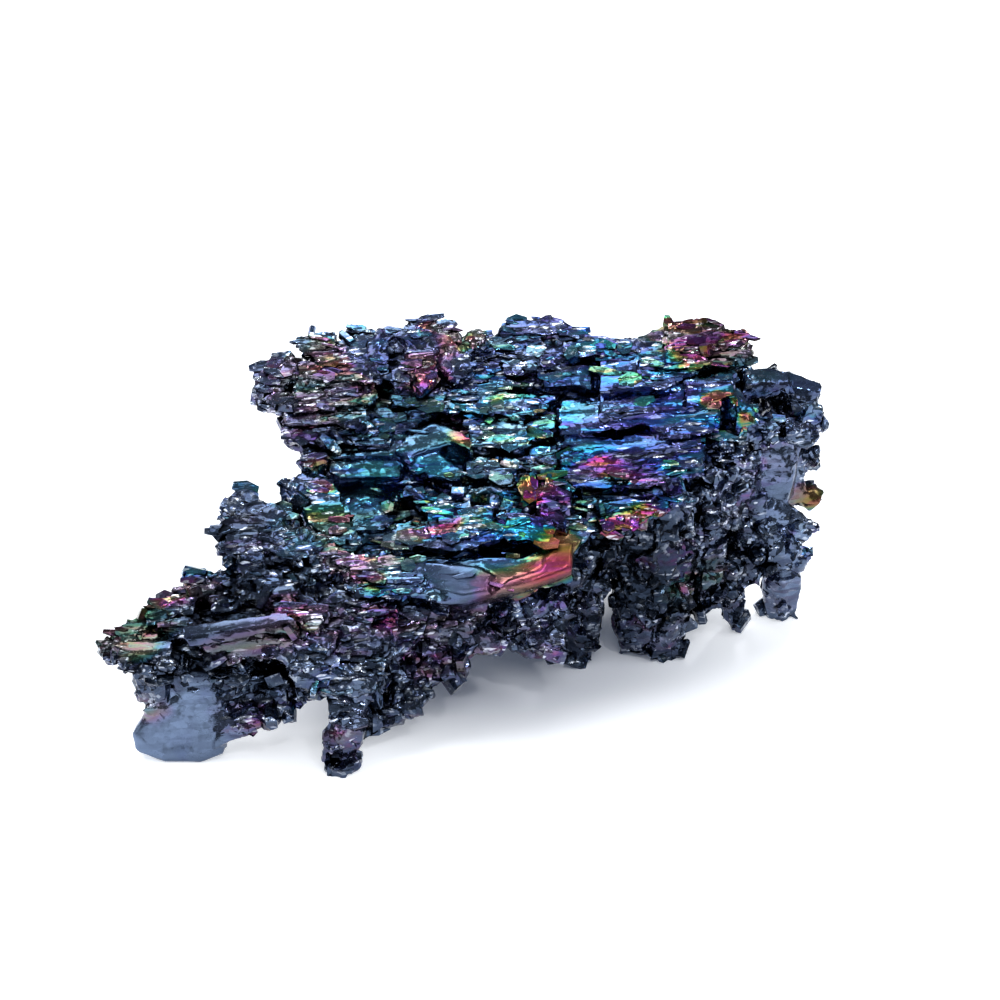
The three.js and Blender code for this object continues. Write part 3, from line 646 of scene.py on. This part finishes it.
def seen_at(surface, across, down):
    """The place on a surface that the camera sees at a place in its view."""
    right = (across / VIEW_SIZE - 0.5) * SENSOR
    up = (0.5 - down / VIEW_SIZE) * SENSOR
    ray = Vector((right, 0, 0)) + CAMERA_UP * up - CAMERA_BACK * LENS
    place = surface.ray_cast(CAMERA_PLACE * MM, ray)[0]
    if place is None:
        raise ValueError(f"no crystal shows at {across}, {down}")
    return place / MM


def find_patches():
    """The patches with their middles on the solid."""
    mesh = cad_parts[NODE].data
    corners = [corner.co for corner in mesh.vertices]
    surface = BVHTree.FromPolygons(corners, [face.vertices for face in mesh.polygons])
    rows = (row for group in PATCHES.values() for row in group)
    return [(seen_at(surface, across, down), *rest) for across, down, *rest in rows]


def lay_film(piece):
    """Stores the film's thickness, colour and lightness and the faces' smoothness on a piece's corners."""
    places = corners_of(piece)
    local = (places - numpy.array(PLATEAU_CENTRE)) @ numpy.array(PLATEAU_TURN)
    top = smoothstep(local[:, 2], *TOP_HEIGHTS) * smoothstep(local[:, 1], *TOP_FOOT)
    # Thicknesses are averaged as directions on a circle, because the film's colours come round again.
    full_turn = 2 * math.pi
    plain = full_turn * (PLAIN_THICKNESS[0] + PLAIN_THICKNESS[1] * top)
    across = BETWEEN_PATCHES * PLAIN_HUE * numpy.cos(plain)
    along = BETWEEN_PATCHES * PLAIN_HUE * numpy.sin(plain)
    glow = BETWEEN_PATCHES * (PLAIN_GLOW[0] + PLAIN_GLOW[1] * top)
    light = BETWEEN_PATCHES * (PLAIN_LIGHT[0] + PLAIN_LIGHT[1] * top)
    calm = BETWEEN_PATCHES * PLAIN_CALM_ON_TOP * top
    weights = numpy.full(len(places), BETWEEN_PATCHES)
    for middle, reach, thickness, strength, lightness, smoothness in find_patches():
        away = (places - numpy.array(middle)) / reach * numpy.array(PATCH_STRETCH)
        near = numpy.exp(-PATCH_FADE * (away * away).sum(axis=1))
        weights += near
        across += near * strength * math.cos(full_turn * thickness)
        along += near * strength * math.sin(full_turn * thickness)
        glow += near * strength
        # The lightness is partly the crystal's own tone and partly painted light and shade.
        light += near * lightness
        calm += near * smoothness
    long = numpy.maximum(numpy.hypot(across, along), TINY)
    layers = {
        "film_across": across / long,
        "film_along": along / long,
        "glow": glow / weights,
        "light": light / weights,
        "calm": calm / weights,
    }
    for name, values in layers.items():
        if name in piece.data.attributes:
            piece.data.attributes.remove(piece.data.attributes[name])
        layer = piece.data.attributes.new(name, "FLOAT", "POINT")
        layer.data.foreach_set("value", values.astype(numpy.float32))


# ---- Crust ----


def crust_tree():
    """Breaks a dense copy of the solid into facets: long low steps on the plateau, blocky ones elsewhere."""
    net, start, end = geometry_tree("crust")
    place = net.add("GeometryNodeInputPosition").times(1 / MM)
    normal = net.add("GeometryNodeInputNormal")
    flat = plateau_share(net, place, normal, 0.5, 0.85)
    # On the plateau: terraces and facets that are drawn out along it.
    drawn = drawn_out(net, place, 0.18)
    steps = net.terraced(net.noise(drawn, 2.4, 4.0) * 11.0) * 0.24 - 1.3 + net.facets(drawn, 1.8) * 0.5
    # Elsewhere: layers that bend about, and large and small blocks.
    warp = net.noise(place, 4.0, 2.0).other("Color").vector("SUBTRACT", (0.5, 0.5, 0.5))
    bent = place.vector("ADD", warp.times(2.0))
    layers = net.terraced(net.noise(bent, 2.8, 3.0) * 8.0) * 0.22 - 0.9
    blocks = net.facets(bent, 4.4) * 1.9 + net.facets(bent, 2.0, (7.0, 3.0, 1.0)) * 0.8 + layers
    # The smooth faces stay almost flat.
    rough = net.ramp(net.named("calm"), 0.15, 0.6, 1.0, 0.08)
    rise = (flat * steps + (1.0 - flat) * blocks) * rough
    values = {"Geometry": start, "Offset": normal.times(rise * MM)}
    moved = net.add("GeometryNodeSetPosition", None, values)
    net.tree.links.new(moved.socket, end.inputs[0])
    return net.tree


# ---- Small crystals ----


def seed_shape(name, sides, size, slant, inset):
    """One small crystal: a flat-topped prism, drawn out to its size, with a slanted and narrowed top."""
    bpy.ops.object.select_all(action="DESELECT")
    bpy.ops.mesh.primitive_cylinder_add(vertices=sides, radius=0.5, depth=1.0)
    seed = bpy.context.object
    seed.name = name
    bpy.ops.object.mode_set(mode="EDIT")
    bpy.ops.mesh.select_all(action="DESELECT")
    bpy.ops.object.mode_set(mode="OBJECT")
    for face in seed.data.polygons:
        face.select = face.normal.z > 0.9
    bpy.ops.object.mode_set(mode="EDIT")
    bpy.ops.mesh.select_mode(type="FACE")
    bpy.ops.mesh.inset(thickness=inset, depth=inset * 0.5)
    bpy.ops.transform.rotate(value=slant, orient_axis="Y", center_override=(0, 0, 0.5))
    bpy.ops.transform.translate(value=(inset * 0.4, inset * 0.3, 0))
    bpy.ops.mesh.select_all(action="SELECT")
    bpy.ops.transform.resize(value=tuple(length * MM for length in size), center_override=(0, 0, 0))
    bpy.ops.object.mode_set(mode="OBJECT")
    return seed


def join_ingrown(crust):
    """Sets the ingrown crystals in the solid, so that the crust runs over them."""
    grown = []
    for start, end, width, depth in INGROWN:
        axis = (Vector(end) - Vector(start)) * MM
        crystal = seed_shape("ingrown", 6, (width, depth, axis.length / MM), 0.25, 0.12)
        crystal.rotation_euler = axis.to_track_quat("Z", "X").to_euler()
        crystal.location = (Vector(end) + Vector(start)) * MM / 2
        grown.append(crystal)
    only(crust)
    for crystal in grown:
        crystal.select_set(True)
    bpy.ops.object.join()


def scatter(host, name, seeds, tree, count):
    """Grows small crystals over a copy of the host's surface, and keeps only the crystals."""
    bed = bpy.data.collections.new(name + "_seeds")
    bpy.context.scene.collection.children.link(bed)
    for seed in seeds:
        for holder in list(seed.users_collection):
            holder.objects.unlink(seed)
        bed.objects.link(seed)
    piece = copy_of(host, name)
    grow(piece, "NODES", node_group=tree(bed, count))
    for seed in seeds:
        bpy.data.objects.remove(seed)
    bpy.data.collections.remove(bed)
    keep_in_box(piece)
    lay_film(piece)
    piece.data.materials.clear()
    piece.data.materials.append(bpy.data.materials["silicon_carbide"])
    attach(piece, BODY)


def planted(net, start, end, bed, density, turn, scale, sink, seed):
    """Sets random crystals from the bed on the surface, each with its own tint, and ends the tree."""
    values = {"Mesh": start, "Density": density, "Seed": seed}
    points = net.add("GeometryNodeDistributePointsOnFaces", None, values)
    normal = points.other("Normal")
    values = {"Geometry": points, "Offset": normal.times(-sink * MM)}
    sunk = net.add("GeometryNodeSetPosition", None, values)
    settings = {"transform_space": "ORIGINAL"}
    values = {"Collection": bed, "Separate Children": True, "Reset Children": True}
    choice = net.add("GeometryNodeCollectionInfo", settings, values)
    values = {
        "Points": sunk,
        "Instance": choice,
        "Pick Instance": True,
        "Rotation": turn(points.other("Rotation")),
        "Scale": scale,
    }
    placed = net.add("GeometryNodeInstanceOnPoints", None, values)
    settings = {"data_type": "FLOAT", "domain": "INSTANCE"}
    values = {"Geometry": placed, "Name": "tint", "Value": net.random(0.0, 1.0, seed + 5)}
    tinted = net.add("GeometryNodeStoreNamedAttribute", settings, values)
    real = net.add("GeometryNodeRealizeInstances", None, {"Geometry": tinted})
    net.tree.links.new(real.socket, end.inputs[0])
    return net.tree


def turned(net, rotation, by):
    """A rotation followed by another one about its own axes."""
    settings = {"rotation_space": "LOCAL"}
    return net.add("FunctionNodeRotateRotation", settings, {"Rotation": rotation, "Rotate By": by})


def surface_masks(net):
    """How much the surface belongs to the plateau's top, and how broken its faces are."""
    place = net.add("GeometryNodeInputPosition").times(1 / MM)
    normal = net.add("GeometryNodeInputNormal")
    top = plateau_share(net, place, normal, 0.45, 0.7)
    return top, 1.0 - net.ramp(net.named("calm"), 0.12, 0.4)


def scales_tree(bed, count):
    """Thin scales that lie along the plateau like roof slates, with their long side across the slope."""
    net, start, end = geometry_tree("scales")
    top, broken = surface_masks(net)
    slope = net.add("FunctionNodeEulerToRotation", None, {0: (PLATEAU_TILT, 0.0, 0.0)})

    def turn(_):
        """The slope's own turn, whichever way the surface faces there, and a little swing."""
        swing = net.random((-0.16, -0.12, -0.35), (0.22, 0.12, 0.25), seed=3)
        by = net.add("FunctionNodeEulerToRotation", None, {0: swing})
        return turned(net, slope, by)

    scale = net.random((0.45, 0.5, 0.7), (1.5, 1.3, 1.3), seed=4)
    density = top * (0.15 + broken * 0.85) * (count / SQUARE_MM)
    return planted(net, start, end, bed, density, turn, scale, sink=0.06, seed=11)


def shards_tree(bed, count):
    """Blunt crystals that stand out of the rest of the surface at all angles."""
    net, start, end = geometry_tree("shards")
    top, broken = surface_masks(net)

    def turn(rotation):
        """The turn of the surface there, and a wide swing."""
        swing = net.random((-0.7, -0.7, 0.0), (0.7, 0.7, 6.28), seed=6)
        by = net.add("FunctionNodeEulerToRotation", None, {0: swing})
        return turned(net, rotation, by)

    size = net.random(0.45, 1.5, seed=7)
    height = net.add("ShaderNodeSeparateXYZ", None, {0: net.add("GeometryNodeInputPosition")}).other("Z")
    # None grow on the topmost crystals, where they would stand out of the box.
    highest = CAD_BOX[1][2]
    below_rim = net.ramp(height, highest - 2.5 * MM, highest - 1.0 * MM, 1.0, 0.0)
    density = (1.0 - top) * below_rim * broken * (count / SQUARE_MM)
    return planted(net, start, end, bed, density, turn, size, sink=0.45, seed=21)


# ---- Recesses, where the material paints shade ----

FEELER_COUNT = 26
FEELER_LENGTH = 3.2
FEELER_LIFT = 0.08  # how far above the surface they start
FEELER_TURN = 2.4  # radians from one feeler to the next, about the golden angle


def feelers():
    """Directions spread evenly over a sphere, along a spiral from its foot to its top."""
    for step in range(FEELER_COUNT):
        z = (step + 0.5) / (FEELER_COUNT / 2) - 1
        reach = math.sqrt(1 - z * z)
        yield math.cos(FEELER_TURN * step) * reach, math.sin(FEELER_TURN * step) * reach, z


def recess_tree(pieces):
    """Stores how open each corner is: the share of short feelers that reach out past the other crystals. The
    material paints shade by it.
    """
    net, start, end = geometry_tree("recess")
    joined = net.add("GeometryNodeJoinGeometry")
    for piece in pieces:
        held = net.add("GeometryNodeObjectInfo", None, {"Object": piece}, "Geometry")
        net.tree.links.new(held.socket, joined.socket.node.inputs[0])
    place = net.add("GeometryNodeInputPosition")
    normal = net.add("GeometryNodeInputNormal")
    lifted = place.vector("ADD", normal.times(FEELER_LIFT * MM))
    reached = total = 0.0
    for feeler in feelers():
        share = normal.vector("DOT_PRODUCT", feeler, "Value").math("MAXIMUM", 0.0)
        values = {
            "Target Geometry": joined,
            "Source Position": lifted,
            "Ray Direction": feeler,
            "Ray Length": FEELER_LENGTH * MM,
        }
        met = net.add("GeometryNodeRaycast", None, values, "Is Hit")
        reached = share * (1.0 - met) + reached
        total = share + total
    settings = {"data_type": "FLOAT", "domain": "POINT"}
    values = {"Geometry": start, "Name": "open", "Value": reached / total}
    stored = net.add("GeometryNodeStoreNamedAttribute", settings, values)
    net.tree.links.new(stored.socket, end.inputs[0])
    return net.tree


# ---- Material ----

# Painted shade: the black that the recesses are darkened to.
PAINTED_RECESS_SHADE = (0.001, 0.001, 0.002, 1)
# Painted glints: the light colour of the small specks in the grey.
PAINTED_SPECK_GLINT = (0.46, 0.52, 0.62, 1)
# Painted glints: the colour of the single glints in the base colour.
PAINTED_GLINT = (0.85, 0.90, 1.0, 1)
FACET_RELIEF = 0.00016  # metres


def carbide_material(settings):
    """Dark, glassy crystal faces under a thin film that changes colour with its thickness."""
    material = bpy.data.materials.new("silicon_carbide")
    material.use_nodes = True
    net = Net(material.node_tree)
    shader = material.node_tree.nodes["Principled BSDF"]
    place = net.add("ShaderNodeTexCoord", None, None, "Object").times(1 / MM)
    drawn = drawn_out(net, place, 0.20)

    def stored(name):
        source = {"attribute_type": "GEOMETRY", "attribute_name": name}
        return net.add("ShaderNodeAttribute", source, None, "Fac")

    glow, light, calm = (stored(name) for name in ("glow", "light", "calm"))
    film = stored("film_along").math("ARCTAN2", stored("film_across")) / (2 * math.pi)
    tint, open_sky = stored("tint"), stored("open")
    # The film's colour, from its thickness there.
    fleck = net.cells(drawn, 0.7).other("Color")
    fleck = net.add("ShaderNodeSeparateColor", None, {0: fleck})
    normal = net.add("ShaderNodeNewGeometry", None, None, "Normal")
    lean = normal.vector("DOT_PRODUCT", (0.5, 0.35, 0.8), "Value")
    band = net.noise(drawn, 2.2, 3.0, (3.0, 0.0, 9.0))
    shift = (band - 0.5) * 0.6 + (fleck - 0.5) * 0.16 + (tint - 0.5) * 0.25 + (lean - 0.35) * 0.13
    thick = film + shift * (1.0 - net.ramp(calm, 0.3, 0.9) * 0.75)
    film_colour = net.add("ShaderNodeValToRGB", {"stops": FILM}, {0: thick.math("FRACT")})
    # How strong the film's colour is: uneven on broken faces, with faint stains between the patches.
    patchy = net.ramp(net.noise(drawn, 1.6, 3.0, (0.0, 5.0, 0.0)), 0.38, 0.6, 0.35, 1.15)
    stain = net.ramp(net.noise(place, 5.0, 3.0, (9.0, 2.0, 4.0)), 0.52, 0.66, 0.0, 0.5)
    tinted = glow + stain * (1.0 - glow) * (1.0 - calm)
    strong = (tinted * (patchy * (1.0 - calm) + calm)).math("MINIMUM", 1.0)
    # The grey of the crystal, with clusters of painted glints: small light specks laid into the base colour.
    uneven = 1.0 - net.ramp(calm, 0.3, 0.8) * 0.8
    # Partly painted light and shade: the patches' lightness raises highlighted facets and darkens hollows.
    level = light * (1.0 + (fleck.other("Green") - 0.5) * 0.9 * uneven)
    grey = net.mix(level, (*settings.dark_crystal, 1), (*settings.light_crystal, 1))
    speck = net.cells(place, 0.42, (5.0, 1.0, 7.0)).other("Color")
    speck = net.add("ShaderNodeSeparateColor", None, {0: speck})
    cluster = net.ramp(net.noise(place, 3.0, 2.0, (1.0, 7.0, 3.0)), 0.46, 0.60)
    broken = net.ramp(calm, 0.2, 0.5, 1.0, 0.0)
    painted_specks = net.ramp(speck, 0.78, 0.84) * cluster * broken * (0.25 + light)
    grey = net.mix(painted_specks * 0.8, grey, PAINTED_SPECK_GLINT)
    # The film over it, and painted glints: single light flecks in the base colour.
    vivid = net.mix(0.06 + light * 1.6, (0, 0, 0, 1), film_colour)
    glint = net.cells(drawn, 0.26, (2.0, 8.0, 5.0)).other("Color")
    glint = net.add("ShaderNodeSeparateColor", None, {0: glint})
    painted_glint_share = net.ramp(glint, 0.94, 0.96) * (0.1 + light * 1.1) * broken
    bright = net.mix(0.35, PAINTED_GLINT, film_colour, "OVERLAY")
    face = net.mix(strong, grey, vivid)
    clean = net.mix(painted_glint_share, face, bright)
    # Painted shade: the recesses are darkened to black where few feelers reach out of them.
    lit = net.ramp(open_sky, 0.26, 0.74, 0.02, 1.0)
    base = net.mix(lit, PAINTED_RECESS_SHADE, clean)
    # The finest facets.
    fine = net.facets(place, 0.5) + net.noise(drawn, 0.45, 3.0) * 0.5 * (1.0 - calm * 0.6)
    values = {"Strength": 0.6, "Distance": FACET_RELIEF, "Height": fine * (0.25 + uneven * 0.75)}
    bump = net.add("ShaderNodeBump", None, values)
    rough = settings.roughness + fleck.other("Blue") * 0.14 + net.ramp(calm, 0.5, 1.0, 0.0, 0.22)
    links = net.tree.links
    links.new(base.socket, shader.inputs["Base Color"])
    links.new(rough.socket, shader.inputs["Roughness"])
    links.new(bump.socket, shader.inputs["Normal"])
    shader.inputs["Metallic"].default_value = 1.0
    return material


# ---- Studio ----


def lay_floor(context):
    """A wide sheet of white paper that glows a little, with a painted shadow under the specimen, where its
    glow fades to dark blue.
    """
    bpy.ops.object.select_all(action="DESELECT")
    bpy.ops.mesh.primitive_plane_add(size=PAPER_SIZE, location=(0, 0, 0))
    floor = context.object
    floor.name = "floor"
    material = bpy.data.materials.new("white_paper")
    material.use_nodes = True
    shader = material.node_tree.nodes["Principled BSDF"]
    shader.inputs["Base Color"].default_value = (*context.scene.specimen.floor, 1)
    shader.inputs["Roughness"].default_value = 0.9
    shader.inputs["Specular IOR Level"].default_value = 0.1
    shader.inputs["Emission Strength"].default_value = PAPER_GLOW
    net = Net(material.node_tree)
    place = net.add("ShaderNodeTexCoord", None, None, "Object")
    side, forward = SHADE_REACH
    away = place.vector("MULTIPLY", (1 / side, 1 / forward, 0.0)).vector("LENGTH", output="Value")
    # Painted shadow: the paper's glow fades to dark blue under the specimen.
    shaded = net.mix(net.ramp(away, 0.35, 1.05), SHADE, SOFT_WHITE)
    net.tree.links.new(shaded.socket, shader.inputs["Emission Color"])
    floor.data.materials.append(material)


def light_studio(scene):
    """A soft sky that is brightest overhead, four softboxes and three small lights for the glints."""
    world = bpy.data.worlds.new("studio")
    scene.world = world
    world.use_nodes = True
    net = Net(world.node_tree)
    background = world.node_tree.nodes["Background"]
    sky = net.add("ShaderNodeTexCoord", None, None, "Generated")
    high = net.add("ShaderNodeSeparateXYZ", None, {0: sky}).other("Z")
    glow = net.ramp(high, -0.05, 0.95, 0.12, 0.45)
    net.tree.links.new(glow.socket, background.inputs["Strength"])
    background.inputs["Color"].default_value = SOFT_WHITE
    for name, place, size, power in STUDIO_LIGHTS:
        light = bpy.data.lights.new(name, "AREA")
        light.size = size
        light.energy = power
        lamp = bpy.data.objects.new(name, light)
        scene.collection.objects.link(lamp)
        lamp.location = place
        lamp.rotation_euler = (LIGHT_AIM - Vector(place)).to_track_quat("-Z", "Y").to_euler()


def place_camera(scene):
    """The camera, with plain display of the colours."""
    camera = bpy.data.objects.new("camera", bpy.data.cameras.new("camera"))
    scene.collection.objects.link(camera)
    camera.data.lens = LENS
    camera.data.sensor_width = SENSOR
    camera.data.clip_start = 0.01
    camera.location = CAMERA_PLACE * MM
    camera.rotation_euler = (-CAMERA_BACK).to_track_quat("-Z", "Y").to_euler()
    scene.camera = camera
    scene.view_settings.view_transform = "Standard"


# ---- Operators ----


class SPECIMEN_OT_crust(bpy.types.Operator):
    """Break the solid's surface up into fine facets and steps"""

    bl_idname = "specimen.crust"
    bl_label = "Crust"

    def execute(self, context):
        settings = context.scene.specimen
        crust = copy_of(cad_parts[NODE], "crust")
        join_ingrown(crust)
        grow(crust, "REMESH", mode="VOXEL", voxel_size=settings.grain, use_smooth_shade=False)
        lay_film(crust)
        grow(crust, "NODES", node_group=crust_tree())
        grow(crust, "SMOOTH", factor=0.5, iterations=1)
        triangles = len(crust.data.polygons) * 2
        grow(crust, "DECIMATE", decimate_type="COLLAPSE", ratio=min(1.0, MOST_TRIANGLES / triangles))
        keep_in_box(crust)
        lay_film(crust)
        only(crust)
        bpy.ops.object.shade_smooth_by_angle(angle=SHARP_EDGE)
        crust.data.materials.clear()
        crust.data.materials.append(carbide_material(settings))
        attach(crust, BODY)
        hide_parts(NODE)
        return {"FINISHED"}


class SPECIMEN_OT_scales(bpy.types.Operator):
    """Lay thin scales over the plateau"""

    bl_idname = "specimen.scales"
    bl_label = "Scales"

    def execute(self, context):
        seeds = [
            seed_shape("long_scale", 6, (3.0, 1.1, 0.28), 0.05, 0.10),
            seed_shape("broad_scale", 6, (2.6, 1.7, 0.24), -0.04, 0.12),
            seed_shape("splinter", 5, (2.2, 0.6, 0.34), 0.08, 0.14),
        ]
        count = context.scene.specimen.scales
        scatter(bpy.data.objects["crust"], "scales", seeds, scales_tree, count)
        return {"FINISHED"}


class SPECIMEN_OT_shards(bpy.types.Operator):
    """Grow blunt crystals over the rest of the cluster"""

    bl_idname = "specimen.shards"
    bl_label = "Shards"

    def execute(self, context):
        seeds = [
            seed_shape("blunt_shard", 6, (1.5, 1.1, 1.9), 0.35, 0.16),
            seed_shape("flat_shard", 6, (2.4, 0.9, 1.3), -0.25, 0.12),
            seed_shape("chip", 5, (1.2, 1.3, 1.0), 0.5, 0.10),
        ]
        count = context.scene.specimen.shards
        scatter(bpy.data.objects["crust"], "shards", seeds, shards_tree, count)
        return {"FINISHED"}


class SPECIMEN_OT_recesses(bpy.types.Operator):
    """Find the recesses between the crystals, where the material paints black shade"""

    bl_idname = "specimen.recesses"
    bl_label = "Recesses"

    def execute(self, context):
        pieces = [bpy.data.objects[name] for name in ("crust", "scales", "shards")]
        tree = recess_tree(pieces)
        for piece in pieces:
            grow(piece, "NODES", node_group=tree)
        return {"FINISHED"}


class SPECIMEN_OT_stage(bpy.types.Operator):
    """Set the specimen on a white floor in soft studio light"""

    bl_idname = "specimen.stage"
    bl_label = "Studio"

    def execute(self, context):
        lay_floor(context)
        light_studio(context.scene)
        place_camera(context.scene)
        return {"FINISHED"}


class SPECIMEN_PT_panel(bpy.types.Panel):
    """Lists the specimen's pieces"""

    bl_idname = "SPECIMEN_PT_panel"
    bl_label = "Specimen"
    bl_space_type = "VIEW_3D"
    bl_region_type = "UI"
    bl_category = "Specimen"

    def draw(self, context):
        for name in SpecimenSettings.__annotations__:
            self.layout.prop(context.scene.specimen, name)
        for operator in PIECES:
            self.layout.operator(operator.bl_idname)


PIECES = (
    SPECIMEN_OT_crust,
    SPECIMEN_OT_scales,
    SPECIMEN_OT_shards,
    SPECIMEN_OT_recesses,
    SPECIMEN_OT_stage,
)
CLASSES = (SpecimenSettings, *PIECES, SPECIMEN_PT_panel)


def register():
    for cls in CLASSES:
        bpy.utils.register_class(cls)
    bpy.types.Scene.specimen = bpy.props.PointerProperty(type=SpecimenSettings)


def unregister():
    del bpy.types.Scene.specimen
    for cls in reversed(CLASSES):
        bpy.utils.unregister_class(cls)


def main():
    register()
    bpy.ops.specimen.crust()
    bpy.ops.specimen.scales()
    bpy.ops.specimen.shards()
    bpy.ops.specimen.recesses()
    bpy.ops.specimen.stage()


if __name__ == "__main__":
    main()
